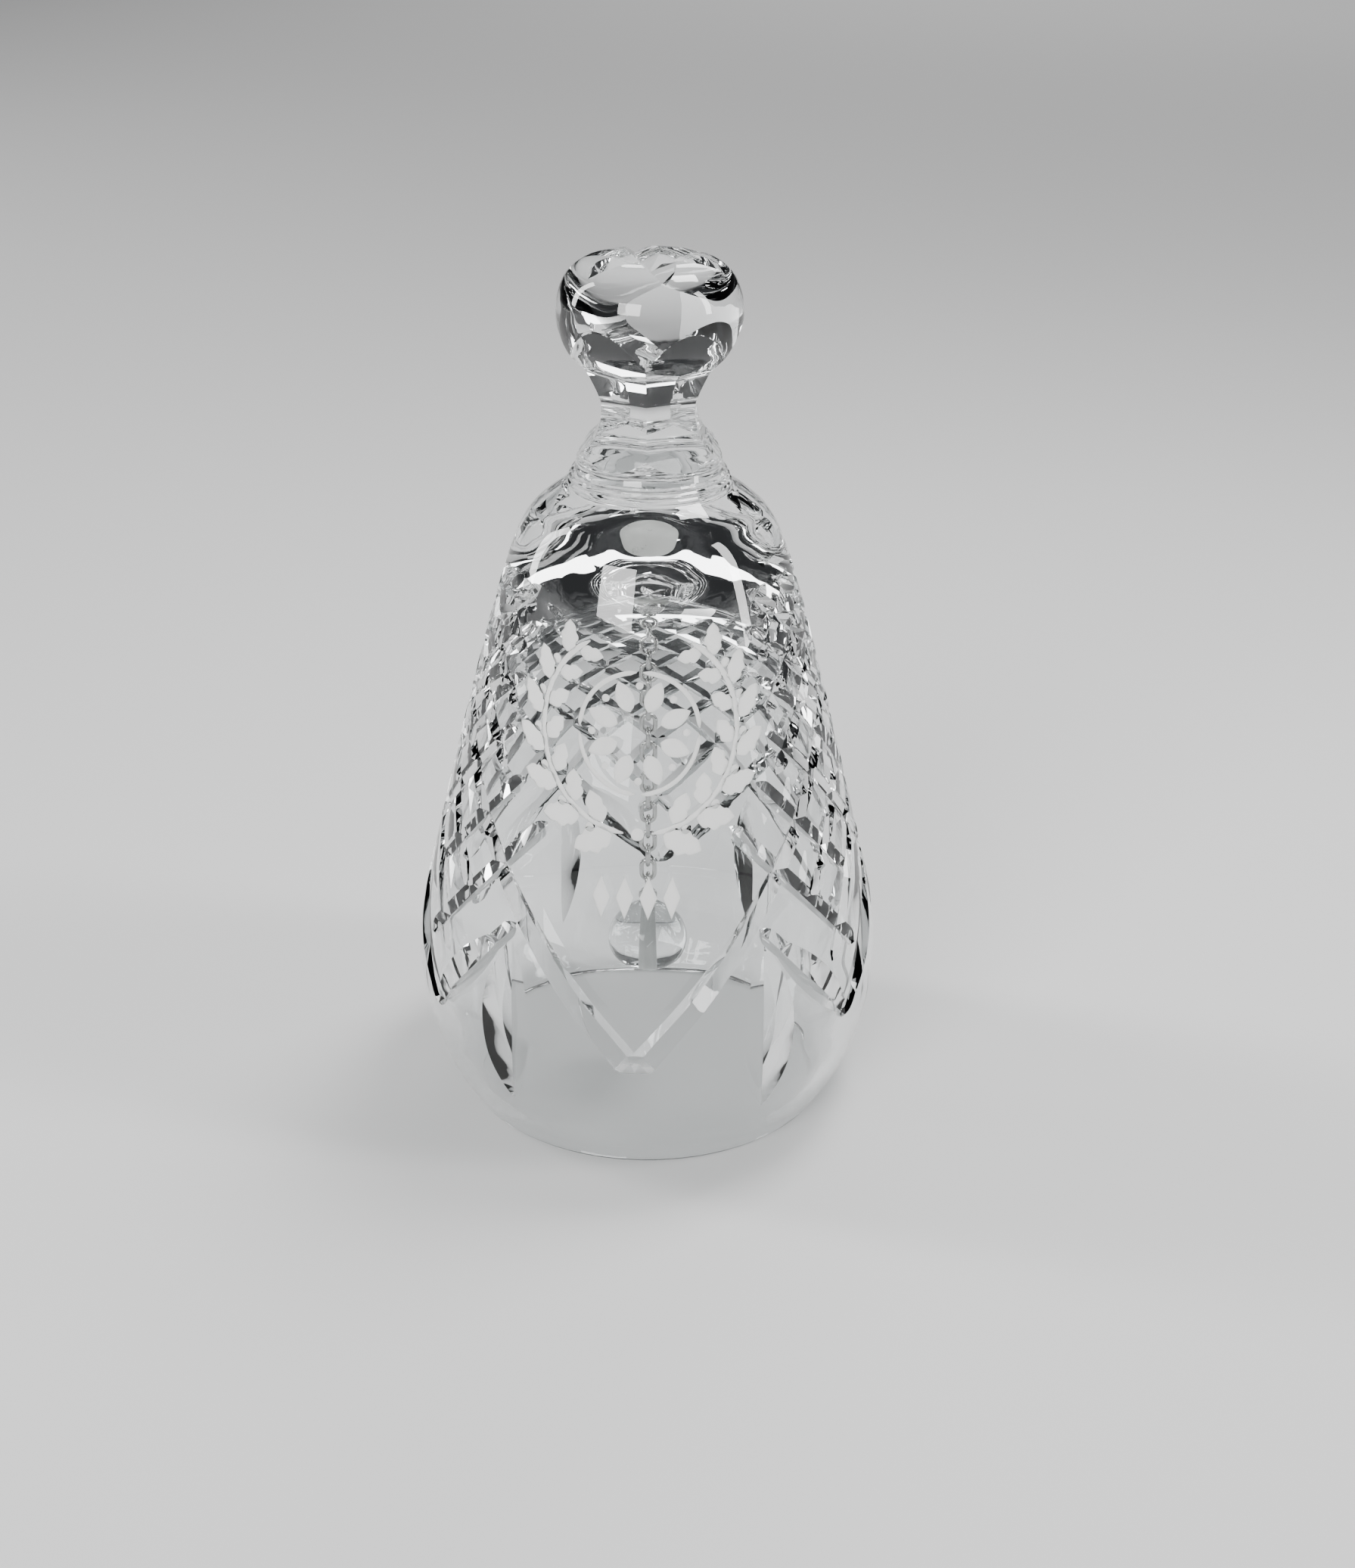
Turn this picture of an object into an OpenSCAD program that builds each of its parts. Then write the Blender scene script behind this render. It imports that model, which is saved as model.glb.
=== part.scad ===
// Hand bell in cut clear glass: one hollow glass body with a solid neck and knob,
// a metal hanger cemented in the dome, a fine link chain and a drilled glass ball clapper.
// Frame: origin at the centre of the mouth, on the plane it stands on; +Z up; front faces -Y.

/* [Glass body] */
// Height from the rim to the top of the knob
bell_h = 120; // [118:0.5:122]
// Outer radius at the rim
rim_r = 26.6; // [26:0.1:27]
// Largest outer radius, low on the skirt
skirt_r = 33.2; // [32.5:0.1:33.6]
// Wall thickness of the skirt
wall = 2.6; // [2.3:0.1:2.9]
// Height of the inside of the dome
dome_z = 79.4; // [79:0.1:80]
// Radius of the knob
knob_r = 12.1; // [11.8:0.1:12.4]
// Half the width across flats of the six-sided neck
neck_flat_r = 6.1; // [5.8:0.1:6.4]

/* [Cuts] */
// Depth of the radial grooves on top of the knob
star_depth = 1.5; // [1:0.1:1.8]
// Depth of the tall leaf cuts low on the skirt
leaf_depth = 1.1; // [0.8:0.1:1.3]
// Turn of the grooved star on the knob from the bell's front, in degrees
star_turn = 14; // [0:1:30]

/* [Chain] */
// Number of links
link_count = 19; // [17:1:19]
// Thickness of the link wire
link_wire = 0.65; // [0.63:0.01:0.67]
// Outside length of a link
link_l = 3.7; // [3.6:0.05:3.7]
// Outside width of a link
link_w = 2.5; // [2.4:0.05:2.6]
// Play where two links meet
link_gap = 0.05; // [0.03:0.01:0.08]

/* [Clapper] */
// Radius of the glass ball
ball_r = 5.75; // [5.4:0.05:5.9]
// Height of the ball's centre above the rim
ball_z = 21.9; // [21.5:0.1:22.5]
// Radius of the pin's shaft
pin_r = 0.7; // [0.65:0.01:0.75]
// Radius of the pin's head, under the ball
pin_head_r = 1.15; // [1.1:0.05:1.3]

/* [Hidden] */
$fn = 96;
repeats = 6;                                 // sides of the neck, and repeats of the cut pattern

link_c = (link_w - link_wire) / 2;           // radius of the centre line of a link's ends
link_drop = link_l - link_wire;              // from a link's upper wire centre to its lower one
link_pitch = link_drop - link_wire - link_gap;
spot_r = 1.35;                               // flat ground round each mouth of the ball's bore
spot_z = sqrt(ball_r * ball_r - spot_r * spot_r);
bore_play = 0.08;                            // radial play of the pin in the ball
ring_c = 0.95;                               // centre-line radius of the two wire rings
ring_gap = 0.1;                              // room between a ring and what it is soldered to
pin_head_h = 0.9;
pin_ring_z = ball_z + ball_r + link_wire / 2 + ring_c + ring_gap;
chain_low_z = pin_ring_z + ring_c - link_wire - link_gap; // lower wire centre of the last link
chain_top_z = chain_low_z + link_count * link_pitch;      // lower wire centre of the hanger's ring
hanger_ring_z = chain_top_z + ring_c;
cement_t = 0.8;
cement_r = 2.9;
cup_r = 2.1;
cup_foot_r = 0.9;
cup_lip = 0.7;                               // height of the cup's round edge
cup_z = dome_z - cement_t;                   // top of the metal cup
cup_h = cup_z - hanger_ring_z - ring_c - link_wire / 2 - ring_gap;
stem_grip = 1.4;                             // depth of the eye's stem in the cup

function two(k) = str(k < 10 ? "0" : "", k);
LINKS = [for (k = [1 : link_count]) str("chain_link_", two(k))];

// Smooth curve through p[1] .. p[last - 1], with p[0] and the last point as its leads
function blend(a, b, c, d, t) = 0.5 * (2 * b + (c - a) * t + (2 * a - 5 * b + 4 * c - d) * t * t
    + (3 * b - a - 3 * c + d) * t * t * t);
function curve(p, n = 2) = [
    for (i = [1 : len(p) - 3], j = [0 : n - 1]) blend(p[i - 1], p[i], p[i + 1], p[i + 2], j / n)
];
function arc(c, r, a, b, n = 6) = [
    for (j = [0 : n]) let (t = a + (b - a) * j / n) c + r * [cos(t), sin(t)]
];
function oval(c, rx, rz, a, b, n = 6) = [
    for (j = [0 : n]) let (t = a + (b - a) * j / n) c + [rx * cos(t), rz * sin(t)]
];

// Outer outline of the skirt and shoulder, from the rim up, as [radius, height]
skirt = [
    [rim_r - 1.4, -1], [rim_r + 0.3, 0.7], [rim_r + 2.8, 4], [skirt_r - 1.15, 12], [skirt_r, 21.5],
    [skirt_r - 1.2, 30], [skirt_r - 4, 42], [skirt_r - 8, 58], [skirt_r - 11.4, 70],
    [skirt_r - 14, 78.5], [skirt_r - 15.9, 84], [skirt_r - 18, 86.8], [skirt_r - 21.7, 90],
    [skirt_r - 24, 91.5]
];
// Collar ring, and the neck before it is ground to six sides
collar = [
    [11.4, 90], [10.8, 91.2], [10.3, 93], [9.6, 95.5], [8.4, 100.6], [9.4, 104], [11, 107.4]
];
leaf_z = 21.5;                               // middle of the leaf cuts
leaf_half_l = 16;
leaf_half_w = 12;                            // half the width of the leaf's wheel, bar_h above its edge
star_half_w = 4.6;                           // the same for the grooves on the knob
bar_h = 4;
neck_wheel_r = 8.7;
neck_wheel_w = 30;
neck_z = 100.8;                              // height of the middle of the neck
knob_z = 113;
knob_top_r = 6.6;
knob_rise = (bell_h - knob_z) / sin(acos(knob_top_r / knob_r));

// Inner outline, from the rim up
bowl = [
    [rim_r - 1.9, -2], [rim_r - 1.5, 0.9], [rim_r + 0.5, 4.5], [skirt_r - wall - 1.1, 12],
    [skirt_r - wall, 21.5], [skirt_r - wall - 1.3, 30], [skirt_r - wall - 4.3, 42],
    [skirt_r - wall - 8.7, 57], [skirt_r - wall - 12.6, 67], [skirt_r - wall - 17, 73.6],
    [skirt_r - wall - 21.5, 77.2], [skirt_r - wall - 26.2, 79.2], [1, dome_z + 0.4]
];
rim_land = 0.5;                              // half the width of the flat it stands on

module blank_profile() {
    polygon(concat(
        [[0, 0], [rim_r - 0.6 + rim_land, 0]],
        curve(skirt),
        collar,
        oval([0, knob_z], knob_r, knob_rise, -24, acos(knob_top_r / knob_r), 9),
        [[0, bell_h]]
    ));
}

module bowl_profile() {
    polygon(concat(
        [[0, -1], [rim_r - 0.6 - rim_land, -1], [rim_r - 0.6 - rim_land, 0]],
        curve(bowl),
        [[cement_r, dome_z], [0, dome_z]]
    ));
}

// One flat of the neck: the round wheel that hollows it, lying across the neck
module neck_cut() {
    translate([neck_flat_r + neck_wheel_r, 0, neck_z])
        rotate([90, 0, 0])
            cylinder(h = neck_wheel_w, r = neck_wheel_r, center = true);
}

// Straight bevelled cut along X: a V-shaped bar whose edge lies on the X axis and opens upwards
module v_bar(length, half_w) {
    rotate([90, 0, 90])
        linear_extrude(length, center = true)
            polygon([[0, 0], [half_w, bar_h], [-half_w, bar_h]]);
}

module glass_body() {
    color([0.86, 0.91, 0.93, 0.4])
        difference() {
            rotate_extrude() blank_profile();
            rotate_extrude() bowl_profile();
            for (k = [0 : repeats - 1])
                rotate([0, 0, 360 / repeats * k]) neck_cut();
            for (k = [0 : repeats / 2 - 1])
                rotate([0, 0, 360 / repeats * k - 90 + star_turn])
                    translate([0, 0, bell_h - star_depth])
                        v_bar(2 * knob_r + 2, star_half_w);
            for (k = [0 : repeats - 1])
                rotate([0, 0, 360 / repeats * (k + 0.5) - 90])
                    translate([skirt_r - leaf_depth, 0, leaf_z])
                        rotate([0, 90, 0])
                            v_bar(2 * leaf_half_l, leaf_half_w);
        }
}

module hanger_cement() {
    edge = cement_t / 2;
    color([0.8, 0.82, 0.8])
        rotate_extrude()
            polygon(concat(
                [[0, dome_z], [0, cup_z]],
                arc([cement_r - edge, cup_z + edge], edge, -90, 90, 8)
            ));
}

// Turned cup: flat on top, where it is cemented, and drawn in to a foot that holds the eye's stem
module hanger_cup() {
    edge = cup_lip / 2;
    color([0.75, 0.76, 0.78])
        difference() {
            translate([0, 0, cup_z])
                rotate_extrude()
                    polygon(concat(
                        [[0, -cup_h], [cup_foot_r, -cup_h], [cup_foot_r, -cup_h / 2 - edge]],
                        arc([cup_r - edge, -edge], edge, -60, 90, 8),
                        [[0, 0]]
                    ));
            translate([0, 0, cup_z - cup_h - 1]) cylinder(h = 1 + stem_grip, r = link_wire / 2);
        }
}

// Wire ring with its centre line in the XZ plane
module wire_ring(c = ring_c, wire = link_wire) {
    rotate([90, 0, 0]) rotate_extrude() translate([c, 0]) circle(wire / 2, $fn = 32);
}

module hanger_eye() {
    color([0.75, 0.76, 0.78])
        union() {
            translate([0, 0, hanger_ring_z]) wire_ring();
            translate([0, 0, hanger_ring_z + ring_c])
                cylinder(h = cup_z - cup_h + stem_grip - hanger_ring_z - ring_c, r = link_wire / 2);
        }
}

// Long ring in the XZ plane, centred on the origin
module link_wire_shape() {
    leg = link_drop - 2 * link_c;
    for (s = [-1, 1]) {
        translate([s * link_c, 0, -leg / 2]) cylinder(h = leg, r = link_wire / 2, $fn = 32);
        rotate([90, 0, 0])
            translate([0, s * leg / 2])
                rotate([0, 0, s < 0 ? 180 : 0])
                    rotate_extrude(angle = 180) translate([link_c, 0]) circle(link_wire / 2, $fn = 32);
    }
}

// Link k hangs in the wire of link k - 1; the odd ones stand in the YZ plane
module chain_link(k) {
    color([0.78, 0.79, 0.8])
        translate([0, 0, chain_top_z - k * link_pitch + link_drop / 2])
            rotate([0, 0, k % 2 == 1 ? 90 : 0])
                link_wire_shape();
}

module clapper_pin() {
    turn = link_count % 2 == 1 ? 0 : 90;
    head_z = ball_z - spot_z;
    color([0.8, 0.8, 0.81])
        union() {
            translate([0, 0, pin_ring_z]) rotate([0, 0, turn]) wire_ring();
            translate([0, 0, head_z - pin_head_h / 3])
                cylinder(h = pin_ring_z - ring_c - head_z + pin_head_h / 3, r = pin_r);
            rotate_extrude()
                polygon(concat([[0, head_z]], oval([0, head_z], pin_head_r, pin_head_h, 0, -90, 12)));
        }
}

module clapper_ball() {
    color([0.85, 0.9, 0.93, 0.6])
        translate([0, 0, ball_z])
            difference() {
                sphere(ball_r);
                for (s = [-1, 1])
                    translate([0, 0, s * (spot_z + ball_r / 2)])
                        cube([2 * ball_r, 2 * ball_r, ball_r], center = true);
                cylinder(h = 4 * ball_r, r = pin_r + bore_play, center = true);
            }
}

glass_body();
hanger_cement();
hanger_cup();
hanger_eye();
for (k = [1 : link_count])
    chain_link(k);
clapper_pin();
clapper_ball();
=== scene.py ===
"""Cut-glass hand bell: detailed glass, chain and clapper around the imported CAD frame."""
import math

import bmesh
import bpy
import numpy as np
from mathutils import Matrix, Vector


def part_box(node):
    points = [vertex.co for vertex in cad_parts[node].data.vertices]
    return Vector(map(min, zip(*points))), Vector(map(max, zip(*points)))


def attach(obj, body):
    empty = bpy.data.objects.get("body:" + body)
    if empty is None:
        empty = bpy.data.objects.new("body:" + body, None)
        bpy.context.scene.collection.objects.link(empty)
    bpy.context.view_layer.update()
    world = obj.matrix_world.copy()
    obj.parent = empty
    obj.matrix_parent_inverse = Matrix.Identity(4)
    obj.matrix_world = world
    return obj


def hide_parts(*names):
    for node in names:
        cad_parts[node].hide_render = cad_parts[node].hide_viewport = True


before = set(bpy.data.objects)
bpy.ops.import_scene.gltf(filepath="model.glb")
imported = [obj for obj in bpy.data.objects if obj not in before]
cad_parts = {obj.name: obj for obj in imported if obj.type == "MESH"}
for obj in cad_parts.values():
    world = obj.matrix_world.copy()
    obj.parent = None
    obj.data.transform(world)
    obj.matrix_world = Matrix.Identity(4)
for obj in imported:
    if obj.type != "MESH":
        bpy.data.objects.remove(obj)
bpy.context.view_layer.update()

MM = 0.001
LINKS = sorted(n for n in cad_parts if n.startswith("chain_link_"))
glass_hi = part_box("glass_body")[1]
BELL_H = glass_hi.z / MM
SKIRT_R = glass_hi.x / MM

# Stand-ins for polished and ground glass. Every mesh carries both until finish_piece gives it its own
# materials: that way a boolean keeps the material index of each face.
CUT_MATERIALS = [bpy.data.materials.new("polished_cut"), bpy.data.materials.new("ground_cut")]

# ------------------------------------------------------------------ small helpers


def new_object(name, verts, faces, material_index=0):
    """Mesh object from points in millimetres. material_index is one number, or one per face."""
    mesh = bpy.data.meshes.new(name)
    mesh.from_pydata([tuple(float(c) * MM for c in v) for v in verts], [], faces)
    bm = bmesh.new()
    bm.from_mesh(mesh)
    bmesh.ops.recalc_face_normals(bm, faces=bm.faces)
    bm.to_mesh(mesh)
    bm.free()
    for m in CUT_MATERIALS:
        mesh.materials.append(m)
    index = np.broadcast_to(material_index, len(mesh.polygons)).astype(np.int32)
    mesh.polygons.foreach_set("material_index", index)
    obj = bpy.data.objects.new(name, mesh)
    bpy.context.scene.collection.objects.link(obj)
    return obj


def spline(points, step):
    """Smooth curve through all the points, sampled about every step."""
    p = np.array(points, float)
    p = np.vstack([2 * p[0] - p[1], p, 2 * p[-1] - p[-2]])
    out = []
    for i in range(1, len(p) - 2):
        a, b, c, d = p[i - 1:i + 3]
        n = max(2, int(math.ceil(np.linalg.norm(c - b) / step)))
        for t in np.arange(n) / n:
            out.append(0.5 * (2 * b + (c - a) * t + (2 * a - 5 * b + 4 * c - d) * t ** 2
                              + (3 * b - a - 3 * c + d) * t ** 3))
    out.append(p[-2])
    return np.array(out)


def revolve(name, outline, segments, band_index=None, hollow=False):
    """Solid of revolution about Z. The outline runs from axis to axis, as (radius, height), or is a loop
    if hollow is set. band_index gives the material index between each point and the next one."""
    verts, faces, rings, index = [], [], [], []
    for r, z in outline:
        if r < 1e-6:
            rings.append([len(verts)])
            verts.append((0, 0, z))
        else:
            rings.append(list(range(len(verts), len(verts) + segments)))
            turn = np.arange(segments) * 2 * math.pi / segments
            verts += [(r * math.cos(t), r * math.sin(t), z) for t in turn]
    pairs = list(zip(rings, rings[1:] + rings[:1])) if hollow else list(zip(rings, rings[1:]))
    for band, (a, b) in enumerate(pairs):
        for k in range(segments):
            m = (k + 1) % segments
            index.append(band_index[band] if band_index else 0)
            if len(a) == 1:
                faces.append((a[0], b[m], b[k]))
            elif len(b) == 1:
                faces.append((a[k], a[m], b[0]))
            else:
                faces.append((a[k], a[m], b[m], b[k]))
    return new_object(name, verts, faces, index)


def closed_wire(name, path, radius, sides):
    """Round wire along a closed path of points in millimetres."""
    p = np.array(path, float)
    n = len(p)
    tangent = np.roll(p, -1, 0) - np.roll(p, 1, 0)
    tangent /= np.linalg.norm(tangent, axis=1)[:, None]
    up = np.array([0.3, 0.2, 0.93])
    side = np.cross(tangent[0], up)
    sides_of = []
    for t in tangent:
        side = side - t * (side @ t)
        side /= np.linalg.norm(side)
        sides_of.append(side)
    # What the carried direction has turned by after one round is spread over the whole wire
    last = sides_of[-1] - tangent[0] * (sides_of[-1] @ tangent[0])
    last /= np.linalg.norm(last)
    twist = math.atan2(np.cross(last, sides_of[0]) @ tangent[0], last @ sides_of[0])
    verts, faces = [], []
    for i in range(n):
        other = np.cross(tangent[i], sides_of[i])
        for k in range(sides):
            a = 2 * math.pi * k / sides + twist * i / n
            verts.append(p[i] + radius * (math.cos(a) * sides_of[i] + math.sin(a) * other))
    for i in range(n):
        j = (i + 1) % n
        for k in range(sides):
            m = (k + 1) % sides
            faces.append((i * sides + k, i * sides + m, j * sides + m, j * sides + k))
    return new_object(name, verts, faces)


def combine(obj, others, operation):
    """Applies one boolean per object in others, then deletes them."""
    for other in others:
        step = obj.modifiers.new("cut", "BOOLEAN")
        step.operation = operation
        step.solver = "MANIFOLD"
        step.object = other
    graph = bpy.context.evaluated_depsgraph_get()
    mesh = bpy.data.meshes.new_from_object(obj.evaluated_get(graph))
    obj.modifiers.clear()
    obj.data = mesh
    for other in others:
        bpy.data.objects.remove(other)


def join(objects, name):
    """One object made of several that don't touch each other."""
    bm = bmesh.new()
    for o in objects:
        bm.from_mesh(o.data)
    mesh = bpy.data.meshes.new(name)
    bm.to_mesh(mesh)
    bm.free()
    for m in CUT_MATERIALS:
        mesh.materials.append(m)
    for o in objects:
        bpy.data.objects.remove(o)
    obj = bpy.data.objects.new(name, mesh)
    bpy.context.scene.collection.objects.link(obj)
    return obj


def finish_piece(obj, body, materials, replaced, sharp_deg=12):
    """Gives a piece its materials and shading and its body, and hides the CAD nodes that it stands for."""
    index = np.zeros(len(obj.data.polygons), np.int32)
    obj.data.polygons.foreach_get("material_index", index)
    obj.data.materials.clear()
    for m in materials:
        obj.data.materials.append(m)
    obj.data.polygons.foreach_set("material_index", np.minimum(index, len(materials) - 1))
    obj.data.polygons.foreach_set("use_smooth", [True] * len(obj.data.polygons))
    obj.data.set_sharp_from_angle(angle=math.radians(sharp_deg))
    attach(obj, body)
    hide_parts(*replaced)


# ------------------------------------------------------------------ materials


def node_material(name):
    mat = bpy.data.materials.new(name)
    mat.use_nodes = True
    nodes, links = mat.node_tree.nodes, mat.node_tree.links
    return mat, nodes, links, nodes["Principled BSDF"], nodes["Material Output"]


def noise(nodes, links, scale, detail=3.0):
    """Noise in the object's own coordinates; scale is in cycles per metre."""
    where = nodes.new("ShaderNodeTexCoord")
    tex = nodes.new("ShaderNodeTexNoise")
    tex.inputs["Scale"].default_value = scale
    tex.inputs["Detail"].default_value = detail
    links.new(where.outputs["Object"], tex.inputs["Vector"])
    return tex


def spread(nodes, links, source, low, high):
    """Maps a noise output, which mostly stays between 0.3 and 0.7, to the range low-high."""
    m = nodes.new("ShaderNodeMapRange")
    m.inputs["From Min"].default_value = 0.3
    m.inputs["From Max"].default_value = 0.7
    m.inputs["To Min"].default_value = low
    m.inputs["To Max"].default_value = high
    links.new(source, m.inputs["Value"])
    return m.outputs["Result"]


def bump(nodes, links, height, shader, strength, distance):
    b = nodes.new("ShaderNodeBump")
    b.inputs["Strength"].default_value = strength
    b.inputs["Distance"].default_value = distance
    links.new(height, b.inputs["Height"])
    links.new(b.outputs["Normal"], shader.inputs["Normal"])


def let_light_through(nodes, links, shader, out, tint):
    """Shadow and diffuse rays pass straight through, so the glass doesn't cast a solid shadow."""
    path = nodes.new("ShaderNodeLightPath")
    either = nodes.new("ShaderNodeMath")
    either.operation = "MAXIMUM"
    links.new(path.outputs["Is Shadow Ray"], either.inputs[0])
    links.new(path.outputs["Is Diffuse Ray"], either.inputs[1])
    clear = nodes.new("ShaderNodeBsdfTransparent")
    clear.inputs["Color"].default_value = (*tint, 1)
    mix = nodes.new("ShaderNodeMixShader")
    links.new(either.outputs[0], mix.inputs[0])
    links.new(shader.outputs[0], mix.inputs[1])
    links.new(clear.outputs[0], mix.inputs[2])
    links.new(mix.outputs[0], out.inputs["Surface"])


LEAD_GLASS_IOR = 1.545


def clear_glass(name):
    mat, nodes, links, shader, out = node_material(name)
    shader.inputs["Base Color"].default_value = (0.945, 0.957, 0.96, 1)
    shader.inputs["Transmission Weight"].default_value = 1.0
    shader.inputs["IOR"].default_value = LEAD_GLASS_IOR
    smear = noise(nodes, links, 90.0)
    links.new(spread(nodes, links, smear.outputs["Fac"], 0.0, 0.012), shader.inputs["Roughness"])
    wave = noise(nodes, links, 260.0, 1.0)
    bump(nodes, links, wave.outputs["Fac"], shader, 0.06, 0.00006)
    let_light_through(nodes, links, shader, out, (0.66, 0.67, 0.67))
    return mat


def etched_glass(name, whiteness):
    mat, nodes, links, shader, out = node_material(name)
    shader.inputs["Base Color"].default_value = (whiteness, whiteness, whiteness * 0.985, 1)
    shader.inputs["Transmission Weight"].default_value = 0.14
    shader.inputs["IOR"].default_value = LEAD_GLASS_IOR
    cloud = noise(nodes, links, 700.0)
    links.new(spread(nodes, links, cloud.outputs["Fac"], 0.55, 0.8), shader.inputs["Roughness"])
    grain = noise(nodes, links, 9000.0, 2.0)
    bump(nodes, links, grain.outputs["Fac"], shader, 0.5, 0.00005)
    let_light_through(nodes, links, shader, out, (0.7, 0.7, 0.7))
    return mat


def plated_metal(name, color, low, high):
    """Bright metal, with a roughness from low to high."""
    mat, nodes, links, shader, out = node_material(name)
    shader.inputs["Base Color"].default_value = (*color, 1)
    shader.inputs["Metallic"].default_value = 1.0
    wear = noise(nodes, links, 1400.0)
    links.new(spread(nodes, links, wear.outputs["Fac"], low, high), shader.inputs["Roughness"])
    scratch = noise(nodes, links, 5200.0)
    bump(nodes, links, scratch.outputs["Fac"], shader, 0.15, 0.00004)
    return mat


def set_adhesive(name):
    mat, nodes, links, shader, out = node_material(name)
    shader.inputs["Base Color"].default_value = (0.82, 0.83, 0.8, 1)
    shader.inputs["Transmission Weight"].default_value = 0.55
    shader.inputs["IOR"].default_value = 1.49
    blotch = noise(nodes, links, 900.0)
    links.new(spread(nodes, links, blotch.outputs["Fac"], 0.25, 0.5), shader.inputs["Roughness"])
    bump(nodes, links, blotch.outputs["Fac"], shader, 0.4, 0.0001)
    return mat


def matt_floor(name, grey):
    mat, nodes, links, shader, out = node_material(name)
    nodes.remove(shader)
    matt = nodes.new("ShaderNodeBsdfDiffuse")
    matt.inputs["Color"].default_value = (grey, grey, grey, 1)
    links.new(matt.outputs[0], out.inputs["Surface"])
    return mat


GLASS = clear_glass("clear_glass")
ETCHED = etched_glass("etched_glass", 0.95)
GROUND = etched_glass("ground_bore", 0.9)
BALL_GLASS = clear_glass("ball_glass")
CHAIN_METAL = plated_metal("chain_metal", (0.6, 0.6, 0.59), 0.06, 0.22)
HANGER_METAL = plated_metal("hanger_metal", (0.56, 0.56, 0.55), 0.12, 0.34)
CEMENT = set_adhesive("cement")

# ------------------------------------------------------------------ glass body: outlines

# Points (radius, height) in millimetres: skirt and shoulder, neck with its turned rings and knob, and the
# inside of the bell. NECK_FLAT gives the distance from the axis of each of the neck's hollow-ground panels.
OUTER = [
    (26.5, 0.0), (27.1, 0.45), (28.0, 2.0), (29.3, 4.3), (30.8, 8.0), (32.0, 12.0), (32.85, 16.5),
    (SKIRT_R - 0.02, 21.5), (32.85, 26.0), (32.0, 30.5), (30.9, 35.0), (29.2, 42.0), (27.2, 50.0),
    (25.2, 58.0), (23.1, 66.0), (21.2, 73.0), (19.4, 79.0), (18.2, 82.3), (17.2, 84.6), (15.8, 86.7),
    (13.8, 88.5), (12.3, 89.6), (11.5, 90.1),
]
COLLAR = [
    (11.5, 90.1), (11.0, 90.5), (10.95, 90.75), (10.65, 90.95), (10.65, 91.2), (10.7, 91.45),
    (10.4, 91.65), (10.35, 91.9), (10.35, 92.15), (10.05, 92.35), (9.9, 92.7), (9.65, 93.6), (9.55, 95.2),
    (9.3, 97.2), (8.7, 99.2), (8.4, 101.0), (8.7, 103.0), (9.7, 105.0), (10.9, 107.2), (11.6, 109.0),
    (12.0, 111.0), (12.1, 113.0), (11.9, 115.0), (11.3, 116.8), (10.3, 118.2), (8.9, 119.25),
    (7.2, 119.8), (5.0, 120.0),
]
INNER = [
    (25.5, 0.0), (25.15, 0.5), (25.3, 1.8), (26.4, 4.0), (28.0, 7.5), (29.4, 12.0), (30.3, 17.0),
    (30.55, 21.5), (30.2, 26.5), (29.3, 31.5), (28.0, 36.5), (26.4, 42.0), (24.0, 50.0), (21.5, 57.8),
    (18.6, 65.8), (15.6, 71.1), (12.2, 75.0), (8.6, 77.5), (5.2, 78.9), (3.2, 79.35),
]
NECK_FLAT = [
    (10.2, 93.3), (9.5, 94.0), (8.3, 95.6), (7.02, 97.0), (6.33, 98.8), (6.08, 100.4), (6.13, 101.8),
    (6.6, 103.2), (7.25, 104.7), (8.05, 106.3), (9.13, 107.5), (10.5, 109.1), (11.5, 110.9), (12.3, 112.8),
]
FOLD = 6
SECTOR_DEG = 360 // FOLD
BELL_SIDES = 240
SLOPE_SPAN = 0.8

outer_line = spline(OUTER, step=0.8)
skin_z, skin_r = outer_line[:, 1], outer_line[:, 0]


def skin(theta, z):
    """Point and outward normal on the skirt's outside. theta is in degrees from the front, towards +X."""
    a = math.radians(theta)
    out = np.array([math.sin(a), -math.cos(a), 0.0])
    up = np.array([0.0, 0.0, 1.0])
    r = np.interp(z, skin_z, skin_r)
    r_above, r_below = np.interp((z + SLOPE_SPAN / 2, z - SLOPE_SPAN / 2), skin_z, skin_r)
    slope = (r_above - r_below) / SLOPE_SPAN
    normal = out - up * slope
    return out * r + up * z, normal / np.linalg.norm(normal)


# Above the glass, a cutter goes on by OVERSHOOT. At its ends, its edge comes out by TIP_LIFT.
OVERSHOOT = 0.2
TIP_LIFT = 0.04


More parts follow.
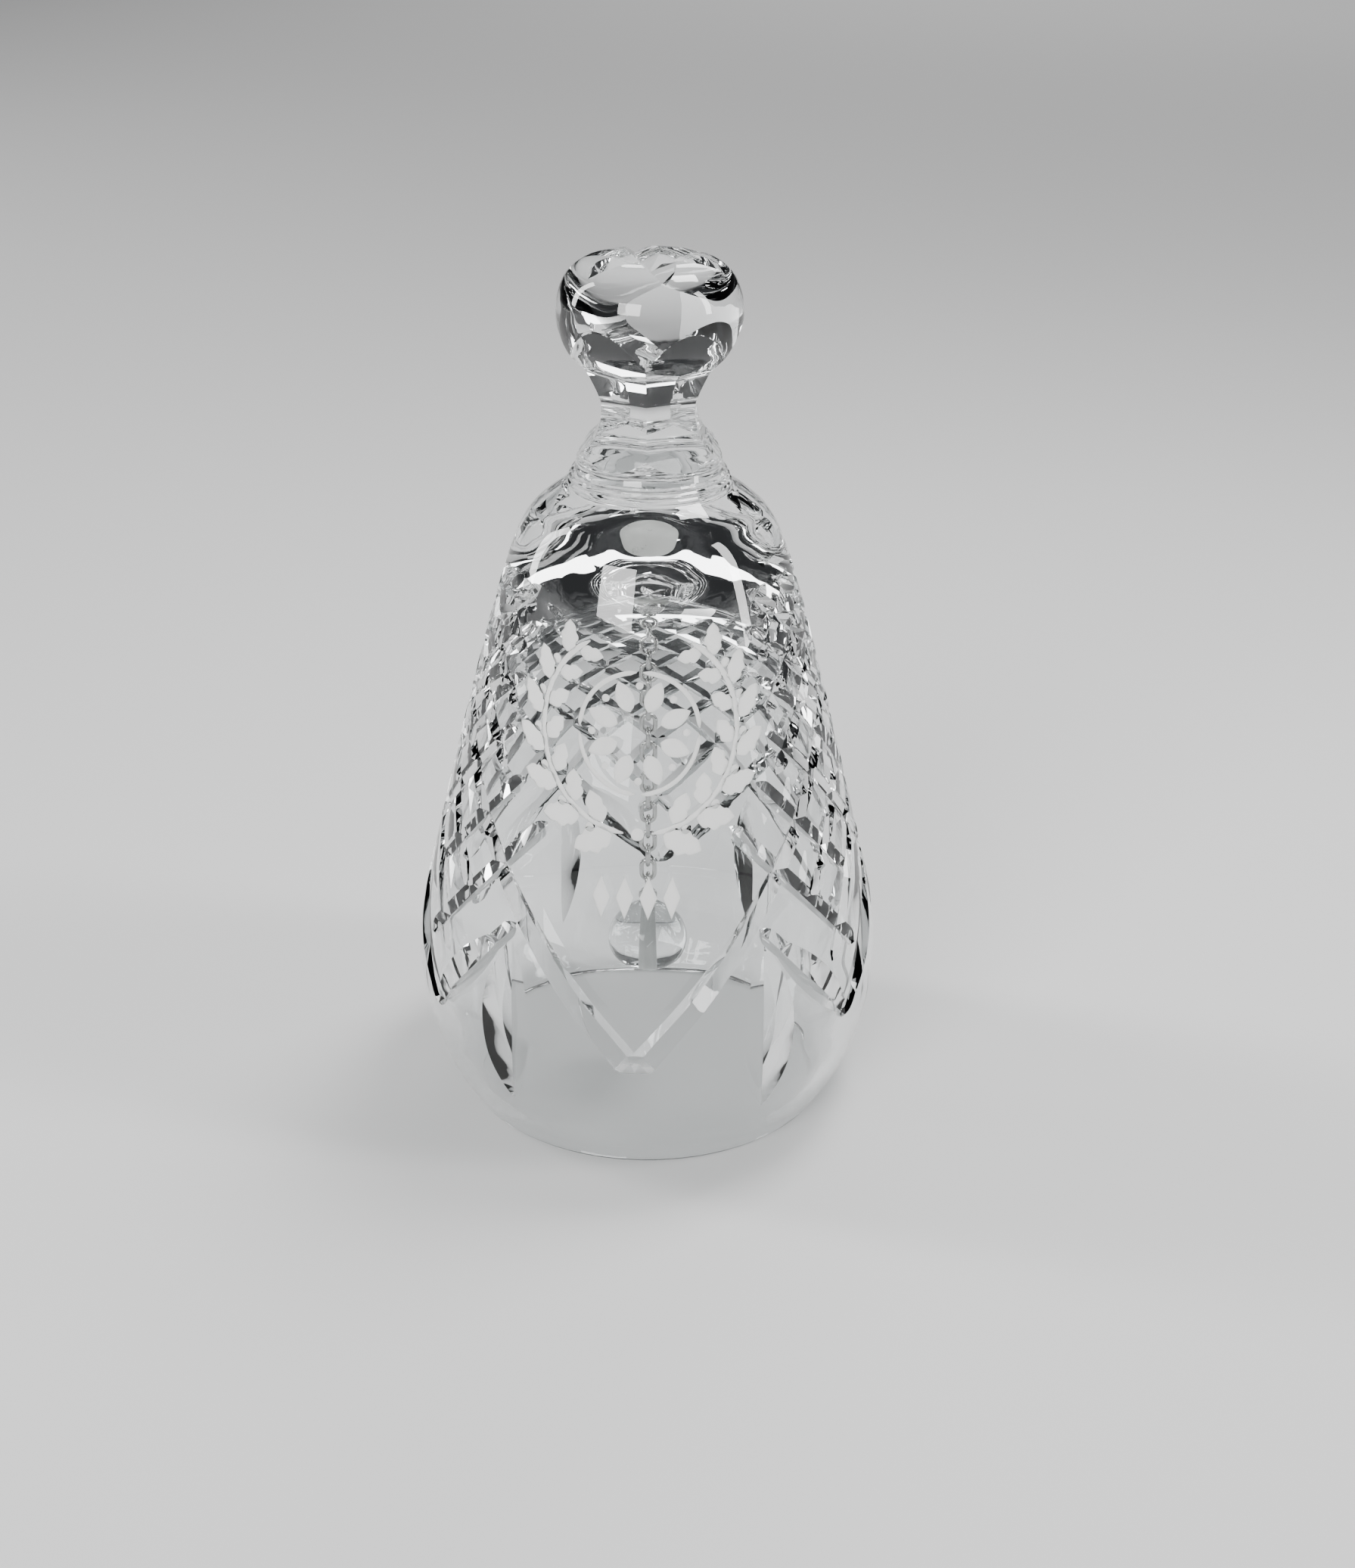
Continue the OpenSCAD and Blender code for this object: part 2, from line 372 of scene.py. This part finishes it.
def bevel_cut(name, path, depth, width, lens=False, taper=3.0, fade=0.0, head=0.0):
    """Cutter for a V-shaped groove along a path of (theta, z), width across at a flat surface.
    A lens is deepest in its middle, any other cut only runs out over taper millimetres at its ends.
    fade is the share of depth lost over the bell's height, and head is the extra share of depth at
    the start, gone after HEAD_L millimetres."""
    line = spline(path, step=1.4)
    spots = [skin(t, z) for t, z in line]
    p = np.array([s[0] for s in spots])
    n = np.array([s[1] for s in spots])
    along = np.gradient(p, axis=0)
    along /= np.linalg.norm(along, axis=1)[:, None]
    across = np.cross(n, along)
    across /= np.linalg.norm(across, axis=1)[:, None]
    run = np.concatenate([[0], np.cumsum(np.linalg.norm(np.diff(p, axis=0), axis=1))])
    flare = width / 2 / depth
    verts, faces = [], []
    for i in range(len(p)):
        if lens:
            share = 1 - (2 * run[i] / run[-1] - 1) ** 2
        else:
            x = min(1.0, min(run[i], run[-1] - run[i]) / taper)
            share = x * (2 - x)
        more = 1 + head * max(0.0, 1 - run[i] / HEAD_L)
        d = depth * share * more * (1 - fade * p[i][2] / BELL_H) - TIP_LIFT
        wing = (d + OVERSHOOT) * flare
        top = p[i] + n[i] * OVERSHOOT
        verts += [p[i] - n[i] * d, top - across[i] * wing, top + across[i] * wing]
    for i in range(len(p) - 1):
        for a, b in ((0, 1), (1, 2), (2, 0)):
            faces.append((3 * i + a, 3 * i + b, 3 * i + 3 + b, 3 * i + 3 + a))
    faces.append((0, 1, 2))
    e = 3 * (len(p) - 1)
    faces.append((e, e + 1, e + 2))
    return new_object(name, verts, faces)


# ------------------------------------------------------------------ glass body: cut pattern

# Lattice lines climb both ways round the skirt. In each sector they are drawn from these heights on, at
# these offsets in degrees, all measured where a line would pass FOOT_Z.
FOOT_Z = 18.6
LINE_STARTS = ((0, FOOT_Z), (20, 27.5), (40, 38.0))
LINE_STEP_DEG = 2
MIN_POINTS = 4
LATTICE_TOP = 80.5
# Climb of a lattice line above the horizontal, in degrees, at each height
CLIMB_Z = (FOOT_Z, 26.0, 52.0, 66.0, 82.0)
CLIMB_DEG = (55.0, 48.0, 47.5, 40.0, 38.0)
# Half-width of the plain front panel, in degrees: for lines that climb towards its middle, by height, and
# for lines that climb away from it
PANEL_Z = (18.0, 41.5, 42.5, 51.5, 56.0, 58.5, 64.0, 72.0, 81.0)
PANEL_DEG = (31.0, 31.0, 24.0, 24.0, 31.0, 38.0, 42.0, 40.0, 38.0)
PANEL_OUTWARD_DEG = 43.0
# The two lines from the front of the foot border the panel: they are drawn in it too, up to this angle,
# and cut deeper over the first HEAD_L millimetres
SWAG_END_DEG = 80
HEAD_L = 42.0
PETAL_TOP = 37
LEAF_AT = (33, 90, 150, 210, 270, 327)
LEAF_TOP, LEAF_FOOT = 35.0, 9.5


def lattice_line(start_deg, start_z, way):
    """Stretches of one line that climbs round the skirt, each a list of (theta, z). way is 1 or -1."""
    theta, z, stretches, line = start_deg, FOOT_Z, [], []
    while z < LATTICE_TOP:
        front = (theta + 180) % 360 - 180
        inwards = front * way < 0
        half = np.interp(z, PANEL_Z, PANEL_DEG) if inwards else PANEL_OUTWARD_DEG
        swag = abs(front) < SWAG_END_DEG and not inwards and start_deg % 360 == 0
        if z >= start_z and (abs(front) > half or swag):
            line.append((theta, z))
        elif line:
            stretches.append(line)
            line = []
        r = np.interp(z, skin_z, skin_r)
        climb = math.tan(math.radians(np.interp(z, CLIMB_Z, CLIMB_DEG)))
        theta += way * LINE_STEP_DEG
        z += math.radians(LINE_STEP_DEG) * r * climb
    stretches.append(line)
    return [s for s in stretches if len(s) >= MIN_POINTS]


def skirt_cuts():
    """The lattice, two petals from the foot of every sector but the front one, and tall leaves."""
    made = []
    for way in (1, -1):
        for sector in range(FOLD):
            for offset, start_z in LINE_STARTS:
                start = way * (-offset - SECTOR_DEG * sector)
                head = 0.5 if sector + offset == 0 else 0.0
                for line in lattice_line(start, start_z, way):
                    made.append(bevel_cut("lattice", line, depth=1.1, width=2.9, taper=2.0, fade=0.3,
                                          head=head))
            if sector > 0:
                line = lattice_line(way * -SECTOR_DEG * sector, FOOT_Z, way)[0]
                petal = [q for q in line if q[1] < PETAL_TOP]
                made.append(bevel_cut("petal", petal, depth=1.6, width=5.4, lens=True))
    for at in LEAF_AT:
        leaf = [(at, z) for z in np.linspace(LEAF_TOP, LEAF_FOOT, 7)]
        made.append(bevel_cut("leaf", leaf, depth=1.75, width=9.6, lens=True))
    return made


def neck_cuts():
    """Cutters for the hollow-ground panels: NECK_FLAT swept sideways, closed well outside the glass."""
    outside_r, half_width = 20.0, 13.0
    line = np.vstack([[(outside_r, NECK_FLAT[0][1])], spline(NECK_FLAT, step=0.45),
                      [(outside_r, NECK_FLAT[-1][1])]])
    n = len(line)
    made = []
    for k in range(FOLD):
        a = 2 * math.pi * k / FOLD
        out = np.array([math.cos(a), math.sin(a), 0.0])
        side = np.array([-math.sin(a), math.cos(a), 0.0])
        verts = [out * r + side * w + np.array([0, 0, z])
                 for w in (-half_width, half_width) for r, z in line]
        faces = [(i, (i + 1) % n, n + (i + 1) % n, n + i) for i in range(n)]
        faces += [tuple(range(n)), tuple(range(n, 2 * n))]
        made.append(new_object("neck_flat", verts, faces))
    return made


def star_cuts():
    """Cutters for the V grooves that run from the middle of the knob's top to its edge."""
    turn_deg = 14.0
    valley = ((-0.8, 117.9), (11.4, 118.35))
    rise, half_width = 3.6, 4.4
    made = []
    for k in range(FOLD):
        a = math.radians(turn_deg - 90 + 360 / FOLD * k)
        out = np.array([math.cos(a), math.sin(a), 0.0])
        side = np.array([-math.sin(a), math.cos(a), 0.0])
        verts = []
        for r, z in valley:
            base = out * r + np.array([0, 0, z])
            top = np.array([0, 0, rise])
            verts += [base, base + top + side * half_width, base + top - side * half_width]
        faces = [(0, 1, 2), (3, 4, 5), (0, 1, 4, 3), (1, 2, 5, 4), (2, 0, 3, 5)]
        made.append(new_object("star", verts, faces))
    return made


def glass_blank():
    """The turned bell before it is cut. Its hollow ends on top of the cement."""
    collar = spline(COLLAR, step=0.5)
    inner = spline(INNER, step=1.1)
    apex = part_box("hanger_cement")[1].z / MM
    outline = [(0.0, apex)] + [tuple(q) for q in inner[::-1]]
    outline += [tuple(q) for q in outer_line] + [tuple(q) for q in collar[1:]] + [(0.0, BELL_H)]
    return revolve("glass_bell", outline, BELL_SIDES)


# ------------------------------------------------------------------ glass body: etched medallion

# Height of the medallion's middle, and the height gained per millimetre up the sloping wall
ETCH_Z = 64.0
ETCH_RISE = 0.97
ETCH_DEPTH = 0.14
ETCH_OVERSHOOT = 0.3
ETCH_MIN = 0.02


def etch(name, path, half_width):
    """Cutter for a shallow ground area along a path of (x, y) in mm from the medallion's middle."""
    path = np.array(path, float)
    along = np.gradient(path, axis=0)
    along /= np.linalg.norm(along, axis=1)[:, None]
    side = np.column_stack([-along[:, 1], along[:, 0]])
    w = np.maximum(np.array(half_width, float), ETCH_MIN)[:, None]
    verts, faces = [], []
    for x, y in np.stack([path + side * w, path - side * w], 1).reshape(-1, 2):
        z = ETCH_Z + ETCH_RISE * y
        p, n = skin(math.degrees(x / np.interp(z, skin_z, skin_r)), z)
        verts += [p - n * ETCH_DEPTH, p + n * ETCH_OVERSHOOT]
    for i in range(len(path) - 1):
        a, b = 4 * i, 4 * i + 4
        faces += [(a, a + 2, b + 2, b), (a + 1, b + 1, b + 3, a + 3), (a, b, b + 1, a + 1),
                  (a + 2, a + 3, b + 3, b + 2)]
    faces += [(0, 1, 3, 2), (b, b + 2, b + 3, b + 1)]
    return new_object(name, verts, faces, 1)


def polar(radius, deg):
    """Point of the medallion at an angle from its foot."""
    return np.array([radius * math.sin(math.radians(deg)), -radius * math.cos(math.radians(deg))])


def etched_leaf(foot, deg, length, half_width, lobes=0, bend=0.0):
    """Pointed leaf that grows from its foot. bend is the share of its length that its tip moves aside."""
    t = np.linspace(0, 1, 17 if lobes else 11)
    a = math.radians(deg)
    ahead, side = np.array([math.sin(a), -math.cos(a)]), np.array([math.cos(a), math.sin(a)])
    path = foot + np.outer(t * length, ahead) + np.outer(bend * t * t * length, side)
    w = half_width * np.sin(math.pi * t ** 0.85) ** 0.75
    if lobes:
        w = w * (0.72 + 0.28 * np.abs(np.sin(lobes * math.pi * t)))
    return etch("leaf", path, w)


def etched_disc(middle, radius):
    steps = 11
    s = radius * np.cos(np.linspace(math.pi, 0, steps))
    path = np.column_stack([middle[0] + s, np.full(steps, middle[1])])
    return etch("disc", path, np.sqrt(np.maximum(radius ** 2 - s ** 2, 0)))


def etched_arc(radius, start, end, half_width):
    """Thin arc round the medallion's middle, thinner over the last few degrees at its ends."""
    taper_deg, end_share = 8, 0.25
    turn = np.linspace(start, end, 30)
    ends = np.minimum(1, np.minimum(turn - start, end - turn) / taper_deg + end_share)
    return etch("arc", [polar(radius, d) for d in turn], half_width * ends)


WREATH_R = 13.2
# Distance of leaves and berries from the wreath's stem, and the step from leaf to leaf
LEAF_OFF = 0.55
BERRY_OFF = 0.95
LEAF_STEP_DEG = 20
RING_R = 7.9


def medallion():
    """A wreath of lobed leaves and berries, a rosette in a thin ring, and four lozenges underneath."""
    made = []
    for way in (1, -1):
        arc = etched_arc(WREATH_R, 8, 150, 0.36)
        if way < 0:
            for v in arc.data.vertices:
                v.co.x = -v.co.x
            arc.data.flip_normals()
        made.append(arc)
        for k in range(7):
            at = 14 + LEAF_STEP_DEG * k
            size = 1.0 - 0.045 * k
            foot = polar(WREATH_R + LEAF_OFF, at)
            foot[0] *= way
            made.append(etched_leaf(foot, way * (at + 58), 5.6 * size, 1.85 * size, 3, -0.12 * way))
            foot = polar(WREATH_R - LEAF_OFF, at + 7)
            foot[0] *= way
            made.append(etched_leaf(foot, way * (at + 7 + 128), 4.4 * size, 1.45 * size, 2, 0.12 * way))
        for k in range(6):
            berry = polar(WREATH_R + BERRY_OFF, 26.5 + LEAF_STEP_DEG * k)
            berry[0] *= way
            made.append(etched_disc(berry, 0.62))
    made.append(etched_disc(polar(WREATH_R, 0), 0.85))
    for k in range(8):
        at = 45 * k + 22.5
        made.append(etched_leaf(polar(3.0, at), at, 4.2, 1.2))
        made.append(etched_disc(polar(6.2, 45 * k), 0.5))
    for k in range(4):
        made.append(etched_arc(RING_R, 90 * k + 3, 90 * k + 87, 0.3))
    pitch, half_width, foot_y, top_y, steps = 3.1, 1.15, -24.6, -18.8, 9
    for k in range(4):
        x = pitch * (k - 1.5)
        made.append(etch("lozenge", [(x, y) for y in np.linspace(foot_y, top_y, steps)],
                         half_width * (1 - np.abs(np.linspace(-1, 1, steps)))))
    return made


bell = glass_blank()
combine(bell, neck_cuts() + star_cuts() + skirt_cuts() + [join(medallion(), "medallion")], "DIFFERENCE")
finish_piece(bell, "bell", [GLASS, ETCHED], ["glass_body"])

# ------------------------------------------------------------------ hanger, chain and clapper


def node_size(node):
    """Lowest and highest corner of a CAD node, in millimetres."""
    lo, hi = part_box(node)
    return np.array(lo) / MM, np.array(hi) / MM


def long_ring(name, middle, width, height, wire, in_xz):
    """Wire ring with straight sides, standing in the XZ or the YZ plane."""
    c = (width - wire) / 2
    leg = height - width
    steps = 15
    # A ring without legs would have the same point twice where its halves meet
    kept = steps - 1 if leg < 1e-4 else steps
    path = []
    for way in (1, -1):
        for t in np.linspace(0, math.pi, steps)[:kept]:
            path.append((way * c * math.cos(t), way * (leg / 2 + c * math.sin(t))))
    points = [(a, 0, b) if in_xz else (0, a, b) for a, b in path]
    return closed_wire(name, np.array(points) + middle, wire / 2, sides=18)


def chain():
    """Every second link stands in the XZ plane, as its CAD node does."""
    for k, node in enumerate(LINKS, 1):
        lo, hi = node_size(node)
        size = hi - lo
        ring = long_ring(node + "_wire", (lo + hi) / 2, max(size[:2]), size[2], min(size[:2]), k % 2 == 0)
        finish_piece(ring, node, [CHAIN_METAL], [node], 40)


WIRE = 0.65
TURNED_SIDES = 96


def hanger():
    """Cement bead under the dome, turned cap in it, and wire ring with its stem. The outlines of bead and
    cap are measured from the boxes of their CAD nodes."""
    lo, hi = node_size("hanger_cement")
    r = hi[0]
    meniscus = [(0, hi[2]), (r - 0.15, hi[2]), (r, hi[2] - 0.12), (r - 0.2, hi[2] - 0.32),
                (r - 0.55, hi[2] - 0.55), (r - 0.75, lo[2]), (0, lo[2])]
    bead = revolve("cement_bead", meniscus, TURNED_SIDES)
    finish_piece(bead, "bell", [CEMENT], ["hanger_cement"], 40)
    lo, hi = node_size("hanger_cup")
    r, h = hi[0], hi[2] - lo[2]
    profile = [(0, lo[2]), (0.75, lo[2]), (0.95, lo[2] + 0.15), (0.95, lo[2] + 0.35), (1.25, lo[2] + 0.7),
               (1.7, lo[2] + 1.1), (r - 0.1, lo[2] + h - 0.75), (r, lo[2] + h - 0.6), (r, lo[2] + h - 0.12),
               (r - 0.12, hi[2]), (0, hi[2])]
    cap = revolve("hanger_cap", profile, TURNED_SIDES)
    finish_piece(cap, "bell", [HANGER_METAL], ["hanger_cup"], 30)
    lo, hi = node_size("hanger_eye")
    across = hi[0] - lo[0]
    middle = ((lo[0] + hi[0]) / 2, 0, lo[2] + across / 2)
    ring = long_ring("hanger_ring", middle, across, across, WIRE, True)
    stem_z = lo[2] + across - WIRE / 2
    stem = revolve("stem", [(0, stem_z), (WIRE * 0.62, stem_z), (WIRE * 0.5, stem_z + 0.3),
                            (WIRE * 0.5, hi[2]), (0, hi[2])], 32)
    combine(ring, [stem], "UNION")
    finish_piece(ring, "bell", [HANGER_METAL], ["hanger_eye"], 40)


BORE_R = 0.78
BORE_CHAMFER = 0.12
SHANK_R = 0.7
COLLAR_R = 0.82
HEAD_R, HEAD_H = 1.15, 0.9
HEAD_GAP = 0.04


def clapper():
    """Ball with flat spots where its ground bore ends, and the eye pin through it, with a round head
    that hangs HEAD_GAP under the lower spot."""
    ball_lo, ball_hi = node_size("clapper_ball")
    mid = (ball_lo[2] + ball_hi[2]) / 2
    r = ball_hi[0]
    spot_z = ball_hi[2] - mid
    spot_r = math.sqrt(r * r - spot_z * spot_z)
    a0 = math.degrees(math.asin(spot_r / r))
    turn = [math.radians(a) for a in np.linspace(a0, 180 - a0, 61)]
    loop = [(r * math.sin(a), mid - r * math.cos(a)) for a in turn]
    up = [(BORE_R + BORE_CHAMFER, mid + spot_z), (BORE_R, mid + spot_z - BORE_CHAMFER)]
    down = [(BORE_R, mid - spot_z + BORE_CHAMFER), (BORE_R + BORE_CHAMFER, mid - spot_z)]
    outline = loop + up + [(BORE_R, mid + spot_z / 3), (BORE_R, mid - spot_z / 3)] + down
    # Polished outside and spots, ground bore with its two chamfers
    bands = [0] * len(loop) + [1] * 5 + [0]
    ball = revolve("clapper_ball_glass", outline, 128, bands, hollow=True)
    finish_piece(ball, "clapper_ball", [BALL_GLASS, GROUND], ["clapper_ball"], 20)
    lo, hi = node_size("clapper_pin")
    across = max(hi[0] - lo[0], hi[1] - lo[1])
    in_xz = hi[0] - lo[0] >= hi[1] - lo[1]
    ring = long_ring("clapper_rod", (0, 0, hi[2] - across / 2), across, across, WIRE, in_xz)
    head_z = ball_lo[2] - HEAD_GAP
    head = [(HEAD_R * math.sin(t), head_z - HEAD_H * math.cos(t)) for t in np.linspace(0, math.pi / 2, 14)]
    head[0] = (0, head[0][1])
    foot = hi[2] - across + WIRE / 2
    shank = [(HEAD_R - 0.05, head_z), (SHANK_R, head_z), (SHANK_R, foot - 0.5), (COLLAR_R, foot - 0.4),
             (COLLAR_R, foot - 0.15), (0.6, foot + 0.1), (0, foot + 0.15)]
    rod = revolve("rod", head + shank, 48)
    combine(ring, [rod], "UNION")
    finish_piece(ring, "clapper_pin", [CHAIN_METAL], ["clapper_pin"], 30)


hanger()
chain()
clapper()

# ------------------------------------------------------------------ stage, light and camera

# The camera, in metres, before it is turned about the bell by CAM_AZ
CAM_AZ = math.radians(3.0)
CAM_PLACE = (0, -0.270, 0.174)
LENS_MM = 48.32

FLOOR_HALF = 4.0
FLOOR_DROP = 0.0002
FLOOR_GREY = 0.8
WORLD_COLOR, WORLD_STRENGTH = (0.5, 0.52, 0.55), 0.06
AIM = (0, 0, 0.06)
# Area lights: name, place, target, size, power in watts
LIGHTS = (
    ("key", (-0.32, -0.75, 0.4), AIM, (0.42, 0.3), 7.5),
    ("fill", (1.24, -0.24, 0.62), AIM, (0.2, 1.0), 12.8),
    ("side", (-1.2, 0.3, 0.62), AIM, (0.2, 1.0), 12.8),
    ("back", (0.4, 2.2, 1.2), (0, 0.2, 0), (1.4, 0.5), 16.0),
    ("top", (0.12, 0.1, 0.42), AIM, (0.12, 0.12), 1.3),
)


def turned(v, a):
    """v turned about Z by a radians."""
    c, s = math.cos(a), math.sin(a)
    return Vector((v[0] * c - v[1] * s, v[0] * s + v[1] * c, v[2]))


def make_camera():
    """Looks down at the bell from the front, about as the photograph does."""
    pitch, yaw, roll = math.radians(25.41), math.radians(0.88), math.radians(0.57)
    ahead = Vector((math.sin(yaw) * math.cos(pitch), math.cos(yaw) * math.cos(pitch), -math.sin(pitch)))
    right = Vector((math.cos(yaw), -math.sin(yaw), 0))
    up = right.cross(ahead)
    r = right * math.cos(roll) + up * math.sin(roll)
    u = up * math.cos(roll) - right * math.sin(roll)
    cam = bpy.data.objects.new("camera", bpy.data.cameras.new("camera"))
    rows = [turned(v, CAM_AZ) for v in (r, u, -ahead)]
    m = Matrix((rows[0], rows[1], rows[2])).transposed().to_4x4()
    m.translation = turned(CAM_PLACE, CAM_AZ)
    cam.matrix_world = m
    cam.data.lens = LENS_MM
    cam.data.sensor_width = 36
    cam.data.clip_start = 0.01
    bpy.context.scene.collection.objects.link(cam)
    bpy.context.scene.camera = cam


def area_light(name, place, target, size, power):
    light = bpy.data.lights.new(name, "AREA")
    light.shape = "RECTANGLE"
    light.size, light.size_y = size
    light.energy = power
    obj = bpy.data.objects.new(name, light)
    obj.location = place
    obj.rotation_mode = "QUATERNION"
    obj.rotation_quaternion = (Vector(target) - Vector(place)).to_track_quat("-Z", "Y")
    bpy.context.scene.collection.objects.link(obj)


def make_stage():
    half = FLOOR_HALF / MM
    corners = [(-half, -half, 0), (half, -half, 0), (half, half, 0), (-half, half, 0)]
    floor = new_object("floor", corners, [(0, 1, 2, 3)])
    floor.location.z = -FLOOR_DROP
    floor.data.materials.clear()
    floor.data.materials.append(matt_floor("floor", FLOOR_GREY))
    world = bpy.data.worlds.new("world")
    world.use_nodes = True
    sky = world.node_tree.nodes["Background"]
    sky.inputs["Color"].default_value = (*WORLD_COLOR, 1)
    sky.inputs["Strength"].default_value = WORLD_STRENGTH
    bpy.context.scene.world = world
    for light in LIGHTS:
        area_light(*light)


make_camera()
make_stage()
# Light crosses many glass walls here
cycles = bpy.context.scene.cycles
cycles.max_bounces = 24
cycles.transmission_bounces = 24
cycles.transparent_max_bounces = 24
cycles.glossy_bounces = 8
